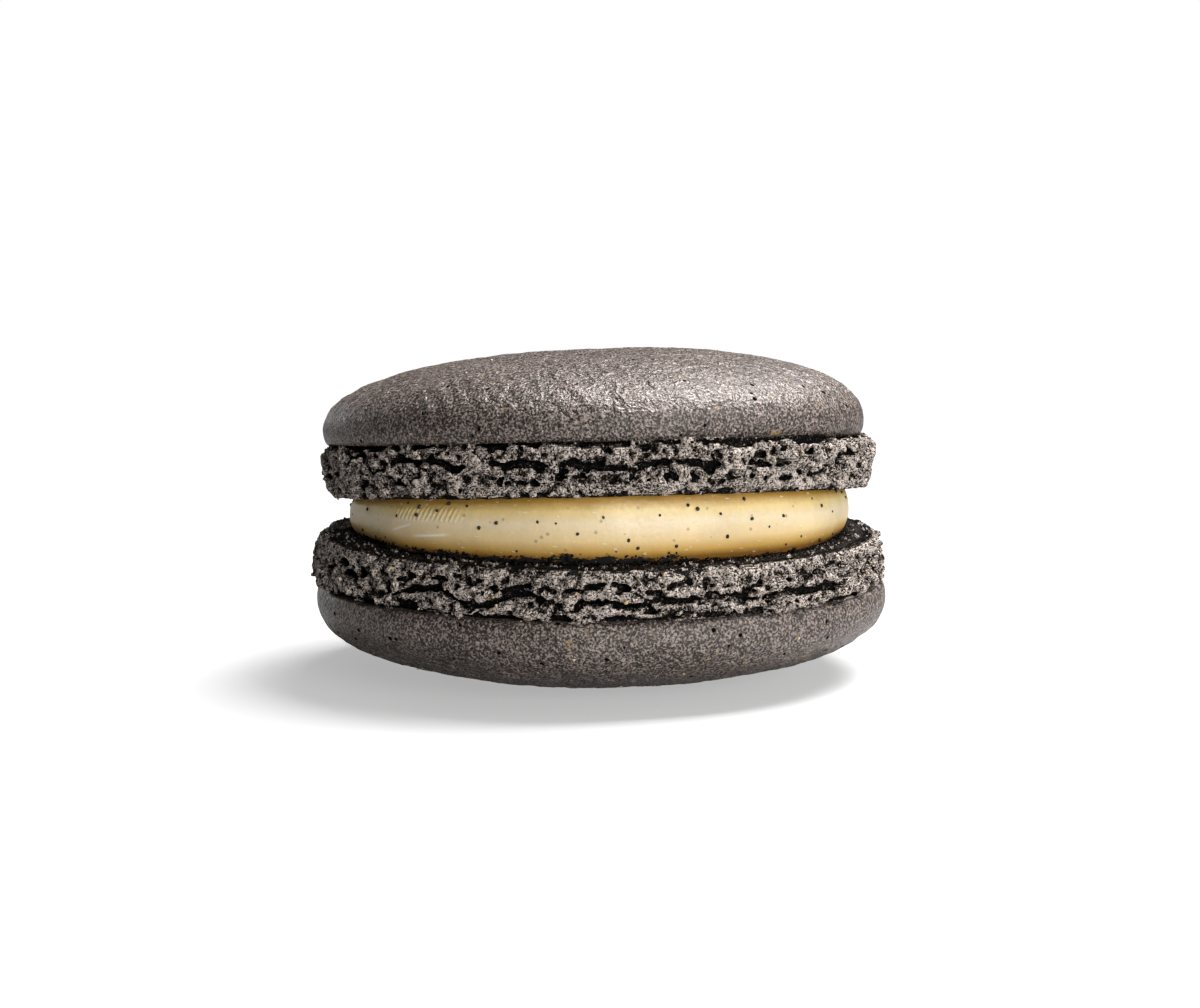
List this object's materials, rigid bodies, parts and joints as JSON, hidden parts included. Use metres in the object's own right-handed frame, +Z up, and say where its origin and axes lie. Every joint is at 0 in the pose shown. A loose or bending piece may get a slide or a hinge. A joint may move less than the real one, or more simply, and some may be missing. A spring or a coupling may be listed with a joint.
{
  "type": "french macaron",
  "caption": "Round sandwich biscuit of charcoal grey almond meringue with smooth domes, crumbly feet and a vanilla ganache filling.",
  "frame": {"origin": "centre of the level spot on the crown of the bottom shell, which the macaron rests on", "axes": "+Z up through both shells, +X to the right and -Y to the front of the view, where the filling is thickest"},
  "size_m": [0.0468, 0.0469, 0.0261],
  "materials": {
    "shell": "matte baked almond meringue in charcoal grey, finely wrinkled on the dome and open and crumbly on the foot",
    "ganache": "glossy pale cream vanilla ganache with dark vanilla seeds"
  },
  "bodies": {
    "root": {"bottom_shell": "shell", "filling": "ganache", "top_shell": "shell"}
  },
  "joints": []
}
